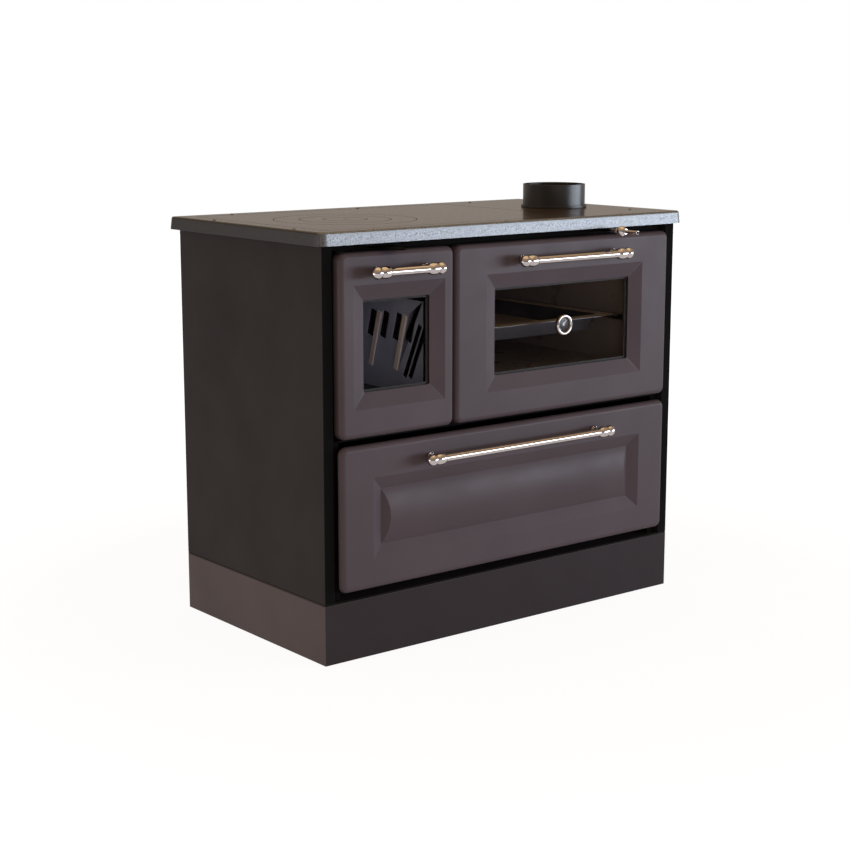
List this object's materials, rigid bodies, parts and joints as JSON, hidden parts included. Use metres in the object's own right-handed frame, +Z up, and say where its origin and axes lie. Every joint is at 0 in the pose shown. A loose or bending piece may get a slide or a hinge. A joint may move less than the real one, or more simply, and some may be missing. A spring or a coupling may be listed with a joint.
{
  "type": "wood cookstove",
  "caption": "Wood cookstove with glazed firebox and oven doors, a wood drawer, a hob with lift-out rings, a flue collar, a pull damper and an air lever.",
  "frame": {"origin": "middle of the bounding box at rest, on the floor that the plinth stands on", "axes": "+X to the right along the front, +Y to the back of the stove, +Z up"},
  "size_m": [0.976, 0.6306, 0.902],
  "materials": {
    "taupe_enamel": "satin",
    "casing_paint": "satin",
    "black_paint": "satin",
    "hob_steel": "ground and oiled",
    "cast_iron": "as cast",
    "sheet_steel": "bare sheet",
    "chrome": "polished",
    "door_glass": "clear ceramic glass",
    "rope_seal": "braided glass fibre"
  },
  "bodies": {
    "stove_body": {"plinth": "taupe_enamel", "base_plate": "casing_paint", "ledge_riser": "black_paint", "side_panel_left": "casing_paint", "side_panel_right": "casing_paint", "back_panel": "casing_paint", "front_frame": "black_paint", "shelf": "sheet_steel", "top_frame": "hob_steel", "cooking_plate": "hob_steel", "ring_outer": "hob_steel", "ring_middle": "hob_steel", "ring_cap": "hob_steel", "flue_collar": "black_paint", "damper_guide_left": "sheet_steel", "damper_guide_right": "sheet_steel", "air_lever_bracket": "sheet_steel", "fire_door_hinge_lower": "black_paint", "fire_door_hinge_upper": "black_paint", "oven_door_hinge_left": "black_paint", "oven_door_hinge_right": "black_paint", "firebox_lining_left": "cast_iron", "firebox_lining_right": "cast_iron", "firebox_lining_back": "cast_iron", "fire_grate": "cast_iron", "ash_pan": "sheet_steel", "oven_box": "sheet_steel", "tray_rail_left": "sheet_steel", "tray_rail_right": "sheet_steel", "baking_tray": "sheet_steel", "drawer_runner_left": "sheet_steel", "drawer_runner_right": "sheet_steel"},
    "fire_door": {"fire_door_front": "taupe_enamel", "fire_door_tray": "casing_paint", "fire_door_glass": "door_glass", "fire_door_glass_clamp": "sheet_steel", "fire_door_seal": "rope_seal", "fire_door_catch": "sheet_steel", "fire_door_handle_bar": "chrome", "fire_door_handle_post_left": "chrome", "fire_door_handle_post_right": "chrome"},
    "oven_door": {"oven_door_front": "taupe_enamel", "oven_door_tray": "casing_paint", "oven_door_glass": "door_glass", "oven_door_glass_clamp": "sheet_steel", "oven_door_seal": "rope_seal", "oven_door_catch": "sheet_steel", "oven_door_handle_bar": "chrome", "oven_door_handle_post_left": "chrome", "oven_door_handle_post_right": "chrome", "thermometer_case": "chrome"},
    "needle": {"thermometer_needle": "chrome"},
    "wood_drawer": {"drawer_front": "taupe_enamel", "drawer_box": "casing_paint", "drawer_handle_bar": "chrome", "drawer_handle_post_left": "chrome", "drawer_handle_post_right": "chrome"},
    "damper": {"damper_rod": "chrome", "damper_plate": "cast_iron"},
    "air_lever": {"air_lever": "black_paint"}
  },
  "joints": [
    {"name": "fire_door_swing", "type": "hinge", "parent": "stove_body", "child": "fire_door", "pos_m": [-0.4315, -0.21725, 0.628], "axis": [0, 0, -1], "range_deg": [0, 110]},
    {"name": "oven_door_drop", "type": "hinge", "parent": "stove_body", "child": "oven_door", "pos_m": [0.14175, -0.21725, 0.4585], "axis": [1, 0, 0], "range_deg": [0, 90]},
    {"name": "drawer_slide", "type": "slide", "parent": "stove_body", "child": "wood_drawer", "axis": [0, -1, 0], "range_m": [0, 0.36]},
    {"name": "damper_pull", "type": "slide", "parent": "stove_body", "child": "damper", "axis": [0, -1, 0], "range_m": [0, 0.08]},
    {"name": "air_lever_swing", "type": "hinge", "parent": "stove_body", "child": "air_lever", "pos_m": [-0.3225, -0.18525, 0.8135], "axis": [0, 0, 1], "range_deg": [-12, 12]},
    {"name": "needle_turn", "type": "hinge", "parent": "oven_door", "child": "needle", "pos_m": [0.14175, -0.22425, 0.6255], "axis": [0, 1, 0], "range_deg": [-160, 80], "stiffness_Nm_per_rad": 0.002}
  ]
}
